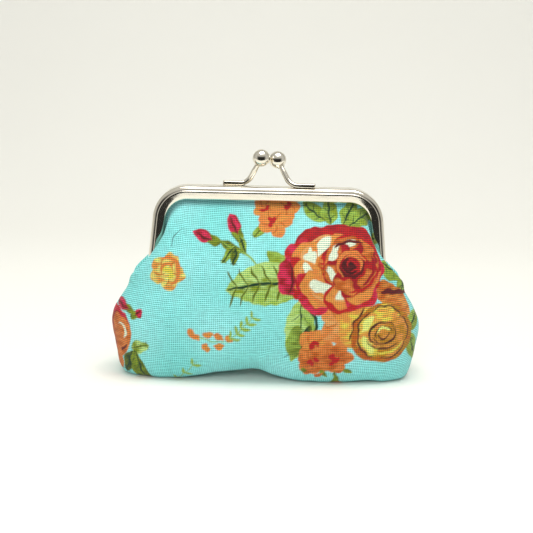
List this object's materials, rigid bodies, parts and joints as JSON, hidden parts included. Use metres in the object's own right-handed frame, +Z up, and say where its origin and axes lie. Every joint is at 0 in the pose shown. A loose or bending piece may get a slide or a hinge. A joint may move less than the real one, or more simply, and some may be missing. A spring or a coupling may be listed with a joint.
{
  "type": "coin purse",
  "caption": "Padded cloth coin purse on a hinged metal frame that opens both ways and snaps shut with two crossed ball-ended stems.",
  "frame": {"origin": "middle of the base, on the surface that the purse stands on", "axes": "+X along the rail, +Y from front to back, +Z up"},
  "size_m": [0.1114, 0.0386, 0.0815],
  "materials": {
    "printed_canvas": null,
    "fleece": "soft white interlining",
    "cotton_lining": "plain cream cotton",
    "seam_thread": "twisted polyester thread",
    "nickel_plate": "bright warm nickel plate on steel",
    "paper_cord": "twisted kraft paper"
  },
  "bodies": {
    "pouch": {"outer_front_lower": "printed_canvas", "outer_back_lower": "printed_canvas", "fleece_front_lower": "fleece", "fleece_back_lower": "fleece", "lining_front_lower": "cotton_lining", "lining_back_lower": "cotton_lining", "outer_seam_thread": "seam_thread", "lining_seam_thread": "seam_thread"},
    "front_half": {"front_frame": "nickel_plate", "front_clasp_stem": "nickel_plate", "front_clasp_ball": "nickel_plate", "front_filler_cord": "paper_cord", "outer_front_upper": "printed_canvas", "fleece_front_upper": "fleece", "lining_front_upper": "cotton_lining"},
    "back_half": {"back_frame": "nickel_plate", "back_clasp_stem": "nickel_plate", "back_clasp_ball": "nickel_plate", "back_filler_cord": "paper_cord", "outer_back_upper": "printed_canvas", "fleece_back_upper": "fleece", "lining_back_upper": "cotton_lining", "left_hinge_rivet": "nickel_plate", "right_hinge_rivet": "nickel_plate"}
  },
  "joints": [
    {"name": "front_opening", "type": "hinge", "parent": "pouch", "child": "front_half", "pos_m": [0, 0, 0.0335], "axis": [1, 0, 0], "range_deg": [0, 45], "deforming": ["outer_front_upper", "fleece_front_upper", "lining_front_upper"]},
    {"name": "back_opening", "type": "hinge", "parent": "pouch", "child": "back_half", "pos_m": [0, 0, 0.0335], "axis": [1, 0, 0], "range_deg": [-45, 0], "deforming": ["outer_back_upper", "fleece_back_upper", "lining_back_upper"]}
  ],
  "couplings": [
    {"joint": "back_opening", "follows": "front_opening", "ratio": -1}
  ]
}
